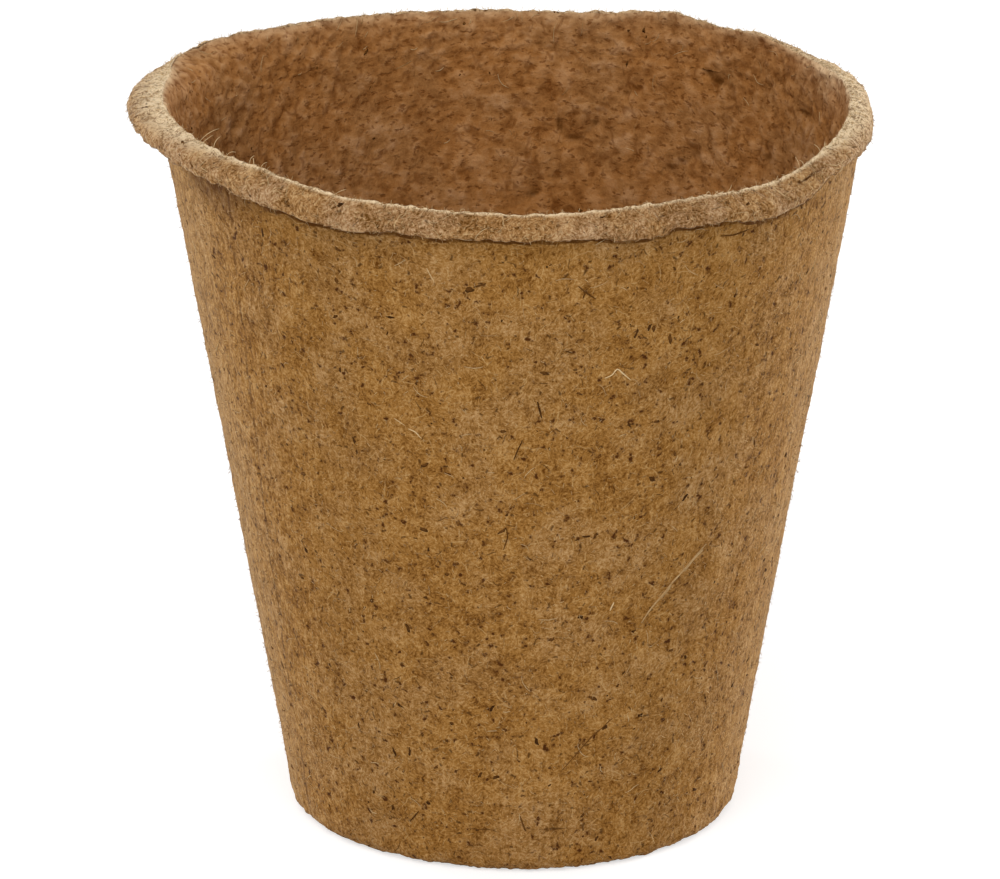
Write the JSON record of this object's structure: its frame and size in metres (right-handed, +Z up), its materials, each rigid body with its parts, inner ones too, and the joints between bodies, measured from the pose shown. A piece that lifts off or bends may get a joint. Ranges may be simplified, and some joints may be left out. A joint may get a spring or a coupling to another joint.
{
  "type": "peat pot",
  "caption": "Round tapered plant pot moulded from pressed peat fibre, open at the top, with a flat base and its top edge folded outward and down into an uneven lip.",
  "frame": {"origin": "middle of the foot, on the ground that the pot stands on", "axes": "+Z up along the axis of the cup, -Y towards the side seen first, -X towards the side where the lip stands out most"},
  "size_m": [0.09, 0.09, 0.089],
  "materials": {
    "base_fibre": "matte",
    "wall_fibre": "matte",
    "rim_fibre": "matte"
  },
  "bodies": {
    "root": {"base": "base_fibre", "side_wall": "wall_fibre", "rim": "rim_fibre"}
  },
  "joints": []
}
